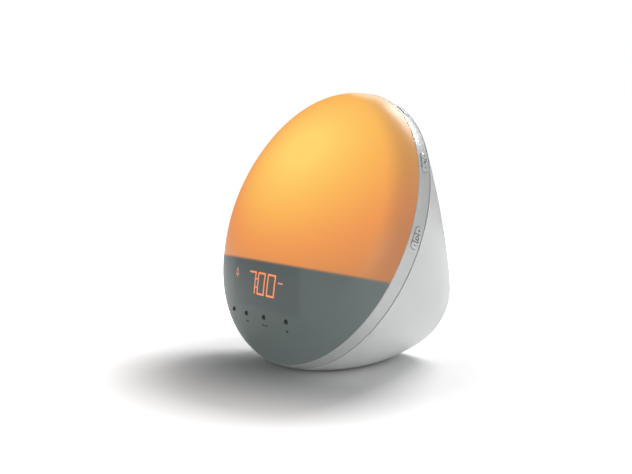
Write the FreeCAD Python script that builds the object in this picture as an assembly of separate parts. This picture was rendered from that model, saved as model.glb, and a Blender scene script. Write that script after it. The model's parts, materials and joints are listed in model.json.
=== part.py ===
import FreeCAD, Part
import math
import os

# A bedside sunrise lamp with a clock. All sizes are in millimetres.
# The origin is the middle of the foot's resting face: +Z is up, and the dome faces -Y.
# The front frame has its origin at the middle of the ring's front edge, X across,
# Y up the leaning face and Z out of it. The tail frame is the same for the rear face.

# Stand and lean
ring_tilt = 20.7
ring_centre_y = -17.0
ring_lift = 3.63
foot_thickness = 1.2
foot_inset = 0.8

# Ring
ring_radius = 96.5
ring_wall = 5.3
ring_depth = 9.2
rebate_depth = 1.7
rebate_wall = 1.3
rebate_gap = 0.2
tongue_length = 1.8
tongue_wall = 1.0
parting_gap = 0.8

# Dome
dome_step = 0.3
crown_radius = 153.7
shoulder_radius = 29.6
dome_edge_slope = 78.7
dome_wall = 2.2
dome_lift = 0.3
spigot_wall = 1.8

# Rear housing: a waist section and a tail section behind the ring, placed from its centre
housing_step = 0.1
housing_wall = 2.5
waist_radius = 72.0
waist_y = 43.8
waist_z = -32.2
waist_tilt = 22.4
tail_radius = 32.6
tail_y = 89.6
tail_z = -59.7
tail_tilt = 24.0
tail_round = 4.0
tail_slope = 0.9

# Middle frame that carries the lamp in front and the circuit behind
plate_thickness = 2.5
plate_depth = 11.5
plate_gap = 0.3
post_radius = 3.0
screw_angles = (45, 135, 225, 315)
post_margin = 0.5
lug_inset = 5.3
lug_radius = 3.6
lug_length = 9.0

# Screws
screw_radius = 1.45
screw_head_radius = 2.7
screw_head_height = 1.8
small_screw_radius = 0.95
small_head_radius = 1.8
small_head_height = 1.3
thread_gap = 0.05
screw_slot_half = 0.3
screw_bite = 6.0

# Lamp
led_board_inset = 2.0
led_post_share = 0.55
led_board_lift = 1.0
board_thickness = 1.6
led_size = 3.2
led_height = 0.9
warm_ring_radius = 62.0
warm_count = 24
amber_ring_radius = 34.0
amber_count = 12
led_hole_radius = 3.2
key_room = 12.2
reflector_wall = 1.2
reflector_lift = 3.4
reflector_rise = 8.6
reflector_flare = 12.0
partition_height = -29.7
partition_slope = 8.66
partition_wall = 1.6
partition_gap = 0.5
lamp_margin = 2.5

# Display
display_depth = 12.0
display_board_half_width = 36.0
display_board_top = -36.5
display_board_bottom = -75.0
module_half_width = 35.0
module_top = -40.0
module_bottom = -60.0
module_height = 9.9
digit_height = 13.8
digit_width = 6.8
digit_pitch = 10.3
digit_slant = 11.0
digit_stroke = 1.4
digit_gap = 0.35
digit_count = 3
digit_centre_x = 8.5
digit_centre_y = -50.2
colon_offset = 8.4
colon_dot_half = 0.6
segment_height = 0.5

# Front keys
front_key_pitch = 21.5
front_key_row = -70.3
front_key_bow = 0.001
front_key_radius = 1.4
front_key_rise = 0.9
front_key_round = 0.7
front_flange_radius = 3.6
front_flange_thickness = 1.0
stem_radius = 1.5

# Ring keys
key_centre_depth = 5.2
key_half_width = 2.6
lamp_group_angle = 0.0
sound_group_angle = 30.0
alarm_angle = 60.0
group_half_length = 6.9
group_middle_half = 2.4
alarm_half_length = 6.4
key_split = 0.4
key_rise = 0.8
key_edge_round = 0.35
key_clearance = 0.3
key_flange_lip = 0.9
key_flange_thickness = 1.0
key_flange_gap = 0.4
key_board_inset = 9.2
key_board_thickness = 1.2
key_board_margin = 1.0

# Switches under the keys
switch_size = 4.5
switch_height = 3.2
plunger_radius = 1.1
plunger_height = 1.2
key_travel = 0.6
switch_spare = 0.2

# Flat cable along the ring keys
flex_thickness = 0.3
flex_width = 5.0
flex_tail_width = 9.0
flex_start = -9.0
flex_end = 125.0
flex_tail_x = 41.0

# Main board behind the plate
main_board_gap = 6.4
main_half_width = 45.0
main_top = 25.0
main_bottom = -41.0
main_hole_inset = 4.0
chip_side = 12.0
chip_height = 1.6
capacitor_radius = 5.0
capacitor_height = 13.0
ribbon_y = -38.5
ribbon_width = 16.0
ribbon_thickness = 0.5
slot_gap = 0.6
led_lead_x = 12.0
led_lead_y = 10.0
lead_radius = 0.9
lead_bend = 8.0
speaker_lead_inset = 20.0
inlet_lead_inset = 6.0

# Speaker on the tail
speaker_radius = 20.0
speaker_rim = 3.0
speaker_rim_thickness = 1.4
speaker_depth = 11.0
basket_radius = 11.5
basket_wall = 1.2
gasket_thickness = 1.0
magnet_radius = 10.5
magnet_height = 7.0
pole_radius = 4.6
coil_radius = 5.6
coil_wall = 0.5
coil_gap = 0.4
cone_wall = 0.5
cone_gap = 0.5
cone_travel = 0.6
coil_length = 3.0
grille_hole_radius = 0.9
grille_ring_pitch = 3.4
grille_rings = 4

# Rear screws and their wells
well_circle = 24.4
well_radius = 3.2
well_wall = 1.0
boss_length = 12.0
boss_radius = 4.0
well_seat = 2.0
well_gap = 0.3

# Power inlet
inlet_y = -26.0
inlet_hole_radius = 3.6
inlet_half_width = 4.0
cradle_wall = 1.5
inlet_length = 12.0
inlet_bore_radius = 3.1
inlet_pin_radius = 0.9
inlet_bore_depth = 9.5
inlet_wall = 0.5

Vector = FreeCAD.Vector
Rotation = FreeCAD.Rotation
Placement = FreeCAD.Placement
ORIGIN = Vector(0, 0, 0)
X_AXIS = Vector(1, 0, 0)
Z_AXIS = Vector(0, 0, 1)

ring_drop = ring_radius * math.cos(math.radians(ring_tilt)) + ring_lift
ring_centre = Vector(0, ring_centre_y, ring_drop + foot_thickness)
front_place = Placement(ring_centre, Rotation(X_AXIS, 90 - ring_tilt))
tail_centre = ring_centre + Vector(0, tail_y, tail_z)
tail_place = Placement(tail_centre, Rotation(X_AXIS, 90 - tail_tilt))

ring_bore = ring_radius - ring_wall
tongue_radius = ring_bore + tongue_wall
dome_edge_radius = ring_radius - dome_step
spigot_radius = ring_radius - rebate_wall - rebate_gap
housing_radius = ring_radius - housing_step
lug_circle = ring_bore - lug_inset
reflector_radius = ring_bore - key_room
led_board_radius = reflector_radius - led_board_inset
key_board_radius = ring_bore - key_board_inset
plate_front = -plate_depth
plate_back = plate_front - plate_thickness
main_front = plate_back - main_board_gap
main_back = main_front - board_thickness
display_board_front = display_depth + board_thickness
module_front = display_board_front + module_height
led_board_back = plate_front + led_board_lift
led_board_front = led_board_back + board_thickness
base_z = foot_thickness
far = 400.0


def placed(shape, place):
    moved = shape.copy()
    moved.Placement = place.multiply(moved.Placement)
    return moved


def cylinder(radius, low, high, x=0.0, y=0.0):
    return Part.makeCylinder(radius, high - low, Vector(x, y, low))


def tube(outer, inner, low, high):
    return cylinder(outer, low, high).cut(cylinder(inner, low - 1, high + 1))


def box(x, y, z):
    return Part.makeBox(x[1] - x[0], y[1] - y[0], z[1] - z[0], Vector(x[0], y[0], z[0]))


def turned(points):
    # A ring or disc turned about Z from its outline of radius and height.
    outline = [Vector(r, 0, z) for r, z in points]
    face = Part.Face(Part.makePolygon(outline + outline[:1]))
    return face.revolve(ORIGIN, Z_AXIS, 360)


def polar(radius, angle):
    a = math.radians(angle)
    return radius * math.cos(a), radius * math.sin(a)


def save(name, shape):
    shape.exportStep("parts/" + name + ".step")


# Dome outline: a flat crown arc that runs into a tight shoulder arc

shoulder_circle = dome_edge_radius - shoulder_radius * math.sin(math.radians(dome_edge_slope))
shoulder_height = dome_lift - shoulder_radius * math.cos(math.radians(dome_edge_slope))
meeting_slope = math.asin(shoulder_circle / (crown_radius - shoulder_radius))
crown_height = shoulder_height - (crown_radius - shoulder_radius) * math.cos(meeting_slope)


def crown_point(slope, inset):
    radius = crown_radius - inset
    return radius * math.sin(slope), crown_height + radius * math.cos(slope)


def shoulder_point(slope, inset):
    radius = shoulder_radius - inset
    return shoulder_circle + radius * math.sin(slope), shoulder_height + radius * math.cos(slope)


def dome_height(radius, inset=0.0):
    meeting, _ = crown_point(meeting_slope, inset)
    if radius <= meeting:
        return crown_height + math.sqrt((crown_radius - inset) ** 2 - radius ** 2)
    across = radius - shoulder_circle
    return shoulder_height + math.sqrt((shoulder_radius - inset) ** 2 - across ** 2)


def dome_arcs(inset, last_slope):
    def at(point):
        return Vector(point[0], 0, point[1])
    top = at(crown_point(0, inset))
    high = at(crown_point(meeting_slope / 2, inset))
    meeting = at(crown_point(meeting_slope, inset))
    low = at(shoulder_point((meeting_slope + last_slope) / 2, inset))
    last = at(shoulder_point(last_slope, inset))
    return [Part.Arc(top, high, meeting).toShape(), Part.Arc(meeting, low, last).toShape()]


def dome_filling(inset, radius, bottom):
    # The solid space under the dome's surface, moved in by inset and cut off at a radius.
    slope = math.asin((radius - shoulder_circle) / (shoulder_radius - inset))
    edges = dome_arcs(inset, slope)
    top = crown_point(0, inset)[1]
    side = shoulder_point(slope, inset)[1]
    corners = [(radius, side), (radius, bottom), (0, bottom), (0, top)]
    if side - bottom < 1e-6:
        corners = corners[1:]
    for start, end in zip(corners, corners[1:]):
        edges.append(Part.LineSegment(Vector(start[0], 0, start[1]), Vector(end[0], 0, end[1])).toShape())
    face = Part.Face(Part.Wire(edges))
    return face.revolve(ORIGIN, Z_AXIS, 360)


def front_key_places():
    places = []
    for step in (-1.5, -0.5, 0.5, 1.5):
        x = step * front_key_pitch
        places.append((x, front_key_row + front_key_bow * x * x))
    return places


def make_front_diffuser():
    shell = dome_filling(0, dome_edge_radius, dome_lift)
    spigot = cylinder(spigot_radius, -rebate_depth, dome_lift)
    hollow = dome_filling(dome_wall, spigot_radius - spigot_wall, -rebate_depth - 1)
    dome = shell.fuse(spigot).cut(hollow)
    for x, y in front_key_places():
        dome = dome.cut(cylinder(front_key_radius + key_clearance, 0, far, x, y))
    return placed(dome.removeSplitter(), front_place)


# Keys on the ring, drawn at angle 0 with X pointing out of the ring

def capsule(half_length, half_width, start, end):
    run = half_length - half_width
    z = -key_centre_depth
    high = Vector(start, run, z)
    low = Vector(start, -run, z)
    side = Vector(0, 0, half_width)
    tip = Vector(0, half_width, 0)
    edges = [
        Part.LineSegment(low + side, high + side).toShape(),
        Part.Arc(high + side, high + tip, high - side).toShape(),
        Part.LineSegment(high - side, low - side).toShape(),
        Part.Arc(low - side, low - tip, low + side).toShape(),
    ]
    face = Part.Face(Part.Wire(edges))
    return face.extrude(Vector(end - start, 0, 0))


def key_switch_top():
    return key_board_radius + key_board_thickness + switch_height + plunger_height


def ring_key(half_length, low, high):
    # One key of a capsule, from the height low to high along the ring.
    flange_outer = ring_bore - key_flange_gap
    flange_inner = flange_outer - key_flange_thickness
    face_radius = ring_radius + key_rise
    z_band = (-key_centre_depth - far, -key_centre_depth + far)
    slice_box = box((0, far), (low, high), z_band)
    cap = capsule(half_length, key_half_width, flange_inner, far)
    cap = cap.common(slice_box).common(cylinder(face_radius, -far, far))
    lip = key_half_width + key_flange_lip
    flange = capsule(half_length + key_flange_lip, lip, flange_inner - 1, far)
    flange = flange.common(tube(flange_outer, flange_inner, -far, far))
    outer_low = low if low > -half_length else low - key_flange_lip
    outer_high = high if high < half_length else high + key_flange_lip
    flange = flange.common(box((0, far), (outer_low, outer_high), z_band))
    stem_start = key_switch_top() + key_travel + switch_spare
    middle = (low + high) / 2
    stem = Part.makeCylinder(stem_radius, flange_outer - stem_start,
                             Vector(stem_start, middle, -key_centre_depth), X_AXIS)
    key = cap.fuse([flange, stem.common(cylinder(flange_outer, -far, far))]).removeSplitter()
    rim = [edge for edge in key.Edges
           if min(math.hypot(v.X, v.Y) for v in edge.Vertexes) > face_radius - 0.05]
    return key.makeFillet(key_edge_round, rim)


def key_group_parts():
    split = key_split / 2
    middle = group_middle_half
    return {
        "plus": (middle + split, group_half_length),
        "middle": (-middle + split, middle - split),
        "minus": (-group_half_length, -middle - split),
    }


def ring_key_list():
    # Name, angle, half length of its capsule, and its low and high ends.
    keys = []
    parts = key_group_parts()
    groups = (("lamp", lamp_group_angle), ("sound", sound_group_angle))
    names = {"plus": "_plus_key", "middle": "_key", "minus": "_minus_key"}
    for group, angle in groups:
        for part, ends in parts.items():
            keys.append((group + names[part], angle, group_half_length, ends[0], ends[1]))
    for name, angle in (("alarm_one_key", alarm_angle), ("alarm_two_key", 180 - alarm_angle)):
        keys.append((name, angle, alarm_half_length, -alarm_half_length, alarm_half_length))
    return keys


def turned_to(shape, angle):
    return placed(shape, Placement(ORIGIN, Rotation(Z_AXIS, angle)))


def capsule_list():
    return ((lamp_group_angle, group_half_length), (sound_group_angle, group_half_length),
            (alarm_angle, alarm_half_length), (180 - alarm_angle, alarm_half_length))


def make_bezel_ring():
    ring = tube(ring_radius, ring_bore, -ring_depth, 0)
    ring = ring.cut(cylinder(spigot_radius + rebate_gap, -rebate_depth, 1))
    tongue = tube(tongue_radius, ring_bore, -ring_depth - tongue_length, -ring_depth)
    ring = ring.fuse(tongue)
    for angle in screw_angles:
        x, y = polar(lug_circle, angle)
        lug = cylinder(lug_radius, plate_front, plate_front + lug_length, x, y)
        web = box((lug_circle, ring_bore + ring_wall / 2), (-lug_radius / 2, lug_radius / 2),
                  (plate_front, plate_front + lug_length))
        lug = lug.fuse(turned_to(web, angle)).cut(
            cylinder(screw_radius + thread_gap, plate_front - 1, plate_front + screw_bite + 1, x, y))
        ring = ring.fuse(lug.common(cylinder(ring_bore + tongue_wall / 2, -far, far)))
    for angle, half_length in capsule_list():
        slot = capsule(half_length + key_clearance, key_half_width + key_clearance,
                       ring_bore - 2, ring_radius + 5)
        ring = ring.cut(turned_to(slot, angle))
    return placed(ring.removeSplitter(), front_place)


# Rear housing

def tilted_circle(radius, centre, tilt):
    wire = Part.Wire(Part.makeCircle(radius))
    wire.Placement = Placement(centre, Rotation(X_AXIS, 90 - tilt))
    return wire


def housing_loft(inset, end_inset):
    start = front_place.multVec(Vector(0, 0, -ring_depth - parting_gap))
    forward = tail_place.Rotation.multVec(Z_AXIS)
    end = tail_centre + forward * end_inset
    waist = ring_centre + Vector(0, waist_y, waist_z)
    wires = [
        tilted_circle(housing_radius - inset, start, ring_tilt),
        tilted_circle(waist_radius - inset, waist, waist_tilt),
        tilted_circle(tail_radius - inset + end_inset * tail_slope, end, tail_tilt),
    ]
    return Part.makeLoft(wires, True, False)


def above(height):
    return Part.makeBox(2 * far, 2 * far, far, Vector(-far, -far, height))


def rounded_tail(body, radius):
    def reach(edge):
        return (edge.CenterOfMass - tail_centre).Length
    rims = [edge for edge in body.Edges if edge.isClosed() or edge.Length > 3 * tail_radius]
    edge = min(rims, key=reach)
    return body.makeFillet(radius, [edge])


def well_places():
    return [polar(well_circle, angle) for angle in screw_angles]


def plate_side(shape):
    # What lies behind the middle frame's rear face.
    block = placed(box((-far, far), (-far, far), (plate_back, far)), front_place)
    return shape.cut(block)


def boss_end(x, y):
    # Distance along the tail's axis from the tail to the end of a frame boss.
    start = tail_place.multVec(Vector(x, y, 0))
    forward = tail_place.Rotation.multVec(Z_AXIS)
    normal = front_place.Rotation.multVec(Z_AXIS)
    plane = front_place.multVec(Vector(0, 0, plate_back))
    return (plane - start).dot(normal) / forward.dot(normal) - boss_length


def grille_places():
    places = [(0.0, 0.0)]
    for ring in range(1, grille_rings + 1):
        for step in range(6 * ring):
            places.append(polar(ring * grille_ring_pitch, 60.0 * step / ring))
    return places


def make_rear_housing():
    outer = rounded_tail(housing_loft(0, 0), tail_round).common(above(base_z))
    inner = housing_loft(housing_wall, housing_wall).common(above(base_z + housing_wall))
    shell = outer.cut(inner)
    wells = []
    holes = []
    for x, y in well_places():
        end = boss_end(x, y) - well_gap
        wells.append(cylinder(well_radius + well_wall, housing_wall / 2, end, x, y))
        holes.append(cylinder(well_radius, -1, end - well_seat, x, y))
        holes.append(cylinder(screw_radius + thread_gap, end - well_seat - 1, end + 1, x, y))
    for x, y in grille_places():
        holes.append(cylinder(grille_hole_radius, -1, housing_wall + 1, x, y))
    holes.append(cylinder(inlet_hole_radius, -1, housing_wall + 1, 0, inlet_y))
    reach = inlet_half_width + cradle_wall
    cradle = box((-reach, reach), (inlet_y - reach, inlet_y + reach),
                 (housing_wall / 2, housing_wall + inlet_length / 2))
    pocket = box((-inlet_half_width, inlet_half_width),
                 (inlet_y - inlet_half_width, inlet_y + inlet_half_width),
                 (housing_wall, far))
    cradle = placed(cradle.cut(pocket), tail_place).common(outer)
    shell = shell.fuse([placed(well, tail_place) for well in wells] + [cradle])
    shell = shell.cut(Part.makeCompound([placed(hole, tail_place) for hole in holes]))
    return shell.removeSplitter()


def make_base_foot():
    pad = housing_loft(foot_inset, 0)
    slab = Part.makeBox(2 * far, 2 * far, foot_thickness, Vector(-far, -far, 0))
    return pad.common(slab)


# Middle frame

def display_posts():
    # The lower pair stands between the front keys.
    inset = post_radius + post_margin
    high = display_board_half_width - inset
    places = ((front_key_pitch, display_board_bottom + inset), (high, display_board_top - inset))
    return [(sx * x, y) for sx in (-1, 1) for x, y in places]


def main_posts():
    x = main_half_width - main_hole_inset
    return [(sx * x, y) for sx in (-1, 1)
            for y in (main_bottom + main_hole_inset, main_top - main_hole_inset)]


def led_posts():
    x = led_board_radius * led_post_share
    return [(-x, 0.0), (x, 0.0), (0.0, x)]


def ribbon_box(gap, low, high):
    half = ribbon_width / 2 + gap
    return box((-half, half), (ribbon_y - ribbon_thickness / 2 - gap, ribbon_y + ribbon_thickness / 2 + gap),
               (low, high))


def flex_tail_box(gap, low, high):
    half = flex_tail_width / 2 + gap
    return box((flex_tail_x - gap, flex_tail_x + flex_thickness + gap), (-half, half), (low, high))


def led_lead_places():
    return [(led_lead_x, led_lead_y), (led_lead_x + 4 * lead_radius, led_lead_y)]


def frame_boss(x, y, radius, reach):
    # A boss that runs from its end at a housing well forward to the middle frame.
    end = boss_end(x, y)
    return placed(cylinder(radius, end - reach, end + 3 * boss_length, x, y), tail_place)


def make_mid_frame():
    room = placed(housing_loft(housing_wall + plate_gap, 0), front_place.inverse())
    frame = cylinder(ring_bore - plate_gap, plate_back, plate_front).common(room)
    posts = [cylinder(post_radius, plate_back, display_depth, x, y) for x, y in display_posts()]
    posts += [cylinder(post_radius, main_front, plate_front, x, y) for x, y in main_posts()]
    posts += [cylinder(post_radius, plate_back, led_board_back, x, y) for x, y in led_posts()]
    frame = frame.fuse(posts)
    small_hole = small_screw_radius + thread_gap
    holes = [cylinder(small_hole, display_depth - screw_bite, far, x, y) for x, y in display_posts()]
    holes += [cylinder(small_hole, -far, main_front + screw_bite, x, y) for x, y in main_posts()]
    for angle in screw_angles:
        x, y = polar(lug_circle, angle)
        holes.append(cylinder(screw_radius + thread_gap, plate_back - 1, plate_front + 1, x, y))
    holes.append(ribbon_box(slot_gap, plate_back - 1, plate_front + 1))
    holes.append(flex_tail_box(slot_gap, plate_back - 1, plate_front + 1))
    for x, y in led_lead_places():
        holes.append(cylinder(lead_radius + slot_gap, plate_back - 1, plate_front + 1, x, y))
    frame = placed(frame.cut(Part.makeCompound(holes)), front_place)
    for x, y in well_places():
        end = boss_end(x, y)
        boss = plate_side(frame_boss(x, y, boss_radius, 0))
        hole = placed(cylinder(screw_radius + thread_gap, end - 1, end + screw_bite + 1, x, y), tail_place)
        frame = frame.fuse(boss).cut(hole)
    return frame.removeSplitter()


# Lamp

def lamp_side(shape, margin):
    cut = box((-far, far), (partition_height + margin, far), (-far, far))
    return shape.common(cut)


def led_places(radius, count):
    places = []
    for step in range(count):
        x, y = polar(radius, 360.0 * (step + 0.5) / count)
        if y > partition_height + lamp_margin + 2 * led_size:
            places.append((x, y))
    return places


def make_led_board():
    board = lamp_side(cylinder(led_board_radius, led_board_back, led_board_front), 2 * lamp_margin)
    return placed(board, front_place)


def make_leds(radius, count):
    half = led_size / 2
    chips = [box((x - half, x + half), (y - half, y + half), (led_board_front, led_board_front + led_height))
             for x, y in led_places(radius, count)]
    return placed(Part.makeCompound(chips), front_place)


def make_light_reflector():
    low = led_board_back + reflector_lift
    high = low + reflector_rise
    wall = reflector_wall
    wide = reflector_radius + reflector_flare
    profile = [(0, low), (reflector_radius, low), (reflector_radius, high), (wide, high + wall),
               (wide, high + 2 * wall), (reflector_radius - wall, high + wall),
               (reflector_radius - wall, low + wall), (0, low + wall)]
    dish = lamp_side(turned(profile), lamp_margin)
    places = led_places(warm_ring_radius, warm_count) + led_places(amber_ring_radius, amber_count)
    holes = [cylinder(led_hole_radius, low - 1, low + wall + 1, x, y) for x, y in places]
    return placed(dish.cut(Part.makeCompound(holes)), front_place)


def make_light_partition():
    room = dome_filling(dome_wall + partition_gap, ring_bore - partition_gap - 1, plate_front)
    wall = box((-far, far), (-partition_wall, 0), (-far, far))
    place = Placement(Vector(0, partition_height, 0), Rotation(X_AXIS, partition_slope))
    return placed(room.common(placed(wall, place)), front_place)


# Display

def slanted(y):
    return (y - digit_centre_y) * math.tan(math.radians(digit_slant))


def bar(points, low):
    outline = [Vector(x + slanted(y), y, low) for x, y in points]
    face = Part.Face(Part.makePolygon(outline + outline[:1]))
    return face.extrude(Vector(0, 0, segment_height))


def digit_segments(x, low):
    # Seven bars: three across, four upright, each with pointed ends.
    half = digit_stroke / 2
    side = digit_width / 2 - half
    level = digit_height / 2 - half
    gap = digit_gap
    bars = []
    for y in (level, 0, -level):
        a = x - side + gap
        b = x + side - gap
        bars.append(bar([(a, y), (a + half, y + half), (b - half, y + half),
                         (b, y), (b - half, y - half), (a + half, y - half)], low))
    for sx in (-1, 1):
        for low_y, high_y in ((0, level), (-level, 0)):
            a = low_y + gap
            b = high_y - gap
            cx = x + sx * side
            bars.append(bar([(cx, a), (cx + half, a + half), (cx + half, b - half),
                             (cx, b), (cx - half, b - half), (cx - half, a + half)], low))
    return bars


def make_display_segments():
    bars = []
    for step in range(digit_count):
        x = digit_centre_x + (step - (digit_count - 1) / 2) * digit_pitch
        bars += digit_segments(x, module_front)
    x = digit_centre_x - colon_offset
    half = colon_dot_half
    dots = []
    for y in (digit_centre_y - digit_height / 4, digit_centre_y + digit_height / 4):
        dots.append(bar([(x - half, y - half), (x + half, y - half),
                         (x + half, y + half), (x - half, y + half)], module_front))
    lifted = [placed(piece, Placement(Vector(0, digit_centre_y, 0), Rotation())) for piece in bars]
    return placed(Part.makeCompound(lifted + dots), front_place)


def make_display_board():
    board = box((-display_board_half_width, display_board_half_width),
                (display_board_bottom, display_board_top), (display_depth, display_board_front))
    holes = [cylinder(small_screw_radius + thread_gap, 0, far, x, y) for x, y in display_posts()]
    return placed(board.cut(Part.makeCompound(holes)), front_place)


def make_display_module():
    block = box((-module_half_width, module_half_width), (module_bottom, module_top),
                (display_board_front, module_front))
    clear = [cylinder(small_head_radius + slot_gap, 0, far, x, y) for x, y in display_posts()]
    return placed(block.cut(Part.makeCompound(clear)), front_place)


def make_front_switches():
    half = switch_size / 2
    low = display_board_front
    pieces = []
    for x, y in front_key_places():
        body = box((x - half, x + half), (y - half, y + half), (low, low + switch_height))
        pin = cylinder(plunger_radius, low + switch_height, low + switch_height + plunger_height, x, y)
        pieces.append(body.fuse(pin))
    return placed(Part.makeCompound(pieces), front_place)


def front_key(x, y):
    radius = math.hypot(x, y)
    surface = dome_height(radius)
    under = dome_height(radius + front_flange_radius, dome_wall) - key_clearance
    stem_low = display_board_front + switch_height + plunger_height + key_travel + switch_spare
    top = surface + front_key_rise
    flange_low = under - front_flange_thickness
    profile = [(0, stem_low), (stem_radius, stem_low), (stem_radius, flange_low),
               (front_flange_radius, flange_low), (front_flange_radius, under), (front_key_radius, under),
               (front_key_radius, top), (0, top)]
    key = turned(profile)
    rim = [edge for edge in key.Edges if edge.isClosed() and edge.CenterOfMass.z > top - 0.01]
    key = key.makeFillet(front_key_round, rim)
    return placed(placed(key, Placement(Vector(x, y, 0), Rotation())), front_place)


# Switch boards and flat cable behind the ring keys

def make_ring_key_boards():
    boards = []
    for angle, half_length in capsule_list():
        half = half_length + key_board_margin
        board = box((key_board_radius, key_board_radius + key_board_thickness), (-half, half),
                    (plate_front, -key_centre_depth + key_half_width + key_board_margin))
        boards.append(turned_to(board, angle))
    return placed(Part.makeCompound(boards), front_place)


def make_ring_key_switches():
    half = switch_size / 2
    start = key_board_radius + key_board_thickness
    pieces = []
    for _, angle, _, low, high in ring_key_list():
        middle = (low + high) / 2
        body = box((start, start + switch_height), (middle - half, middle + half),
                   (-key_centre_depth - half, -key_centre_depth + half))
        pin = Part.makeCylinder(plunger_radius, plunger_height,
                                Vector(start + switch_height, middle, -key_centre_depth), X_AXIS)
        pieces.append(turned_to(body.fuse(pin), angle))
    return placed(Part.makeCompound(pieces), front_place)


def make_key_flex():
    outer = key_board_radius
    span = flex_end - flex_start
    band = Part.makeCylinder(outer, flex_thickness, Vector(0, 0, plate_front), Z_AXIS, span)
    band = band.cut(cylinder(outer - flex_width, -far, far))
    band = turned_to(band, flex_start)
    half = flex_tail_width / 2
    run = box((flex_tail_x, outer - flex_width + flex_thickness), (-half, half),
              (plate_front, plate_front + flex_thickness))
    posts = [cylinder(post_radius + slot_gap, -far, far, x, y) for x, y in led_posts()]
    run = run.cut(Part.makeCompound(posts))
    drop = flex_tail_box(0, main_front, plate_front + flex_thickness)
    return placed(band.fuse([run, drop]).removeSplitter(), front_place)


# Main board and leads

def make_main_board():
    board = box((-main_half_width, main_half_width), (main_bottom, main_top), (main_back, main_front))
    holes = [cylinder(small_screw_radius + thread_gap, -far, far, x, y) for x, y in main_posts()]
    board = placed(board.cut(Part.makeCompound(holes)), front_place)
    return board.cut([frame_boss(x, y, boss_radius + slot_gap, boss_length) for x, y in well_places()])


def make_board_chips():
    # Places and sizes as shares of the board's half width and of the largest chip.
    shares = ((0.0, -0.18, 1.0), (-0.62, 0.18, 0.67), (0.49, -0.58, 0.58), (0.53, 0.18, 0.42))
    chips = []
    for across, up, size in shares:
        x = across * main_half_width
        y = up * main_half_width
        half = size * chip_side / 2
        chips.append(box((x - half, x + half), (y - half, y + half), (main_back - chip_height, main_back)))
    return placed(Part.makeCompound(chips), front_place)


def make_board_capacitors():
    # Places and sizes as shares of the board's half width and of the largest can.
    shares = ((-0.71, -0.62, 1.0), (-0.71, -0.31, 0.8), (0.18, 0.36, 0.6))
    cans = []
    for across, up, size in shares:
        x = across * main_half_width
        y = up * main_half_width
        cans.append(cylinder(size * capacitor_radius, main_back - size * capacitor_height, main_back, x, y))
    return placed(Part.makeCompound(cans), front_place)


def make_display_ribbon():
    return placed(ribbon_box(0, main_front, display_depth), front_place)


def make_led_lead():
    wires = [cylinder(lead_radius, main_front, led_board_back, x, y) for x, y in led_lead_places()]
    return placed(Part.makeCompound(wires), front_place)


def lead_tube(points, bend):
    # Straight runs joined by tangent arcs, swept with a round wire.
    edges = []
    start = points[0]
    for corner, after in zip(points[1:-1], points[2:]):
        to_back = (start - corner).normalize()
        to_front = (after - corner).normalize()
        turn = math.pi - to_back.getAngle(to_front)
        cut = bend * math.tan(turn / 2)
        first = corner + to_back * cut
        last = corner + to_front * cut
        inward = (to_back + to_front).normalize()
        middle = corner + inward * (bend / math.cos(turn / 2) - bend)
        edges.append(Part.LineSegment(start, first).toShape())
        edges.append(Part.Arc(first, middle, last).toShape())
        start = last
    edges.append(Part.LineSegment(start, points[-1]).toShape())
    path = Part.Wire(edges)
    direction = (points[1] - points[0]).normalize()
    section = Part.Wire(Part.makeCircle(lead_radius, points[0], direction))
    return path.makePipeShell([section], True, False)


def tail_point(x, y, z):
    return tail_place.multVec(Vector(x, y, z))


def front_point(x, y, z):
    return front_place.multVec(Vector(x, y, z))


def speaker_low():
    return housing_wall + gasket_thickness


def make_speaker_lead():
    side = basket_radius - 2 * lead_radius
    start = speaker_low() + speaker_depth + magnet_height
    points = [tail_point(side, 0, start), tail_point(side, 0, start + 2 * lead_bend),
              front_point(side, main_bottom + speaker_lead_inset, main_back - 2 * lead_bend),
              front_point(side, main_bottom + speaker_lead_inset, main_back)]
    return lead_tube(points, lead_bend / 2)


def make_inlet_lead():
    start = housing_wall + inlet_length
    points = [tail_point(0, inlet_y, start), tail_point(0, inlet_y, start + 2 * lead_bend),
              front_point(0, main_bottom + inlet_lead_inset, main_back - 2 * lead_bend),
              front_point(0, main_bottom + inlet_lead_inset, main_back)]
    return lead_tube(points, lead_bend / 2)


# Speaker

def make_speaker_gasket():
    ring = tube(speaker_radius, speaker_radius - speaker_rim, housing_wall, speaker_low())
    return placed(ring, tail_place)


def make_speaker_frame():
    low = speaker_low()
    rim_top = low + speaker_rim_thickness
    floor = low + speaker_depth
    inner = speaker_radius - speaker_rim
    hole = coil_radius + coil_gap
    profile = [(inner, low), (speaker_radius, low), (speaker_radius, rim_top),
               (inner + basket_wall, rim_top), (basket_radius, floor), (hole, floor),
               (hole, floor - basket_wall), (basket_radius - basket_wall, floor - basket_wall),
               (inner, rim_top)]
    return placed(turned(profile), tail_place)


def make_speaker_magnet():
    low = speaker_low() + speaker_depth
    top = low + magnet_height
    gap = coil_radius + coil_gap
    profile = [(gap, low), (magnet_radius, low), (magnet_radius, top), (0, top),
               (0, low), (pole_radius, low), (pole_radius, top - basket_wall), (gap, top - basket_wall)]
    return placed(turned(profile), tail_place)


def make_speaker_cone():
    low = speaker_low() + speaker_rim_thickness
    wide = speaker_radius - speaker_rim - cone_gap
    neck = speaker_low() + speaker_depth - 2 * basket_wall - 2 * cone_travel
    coil_end = neck + basket_wall + 3 * cone_travel + coil_length
    inner = coil_radius - coil_wall
    profile = [(wide, low), (coil_radius, neck), (coil_radius, coil_end), (inner, coil_end),
               (inner, neck), (0, neck), (0, neck - cone_wall), (inner, neck - cone_wall),
               (wide - cone_wall, low - cone_wall), (wide, low - cone_wall)]
    return placed(turned(profile), tail_place)


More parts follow.
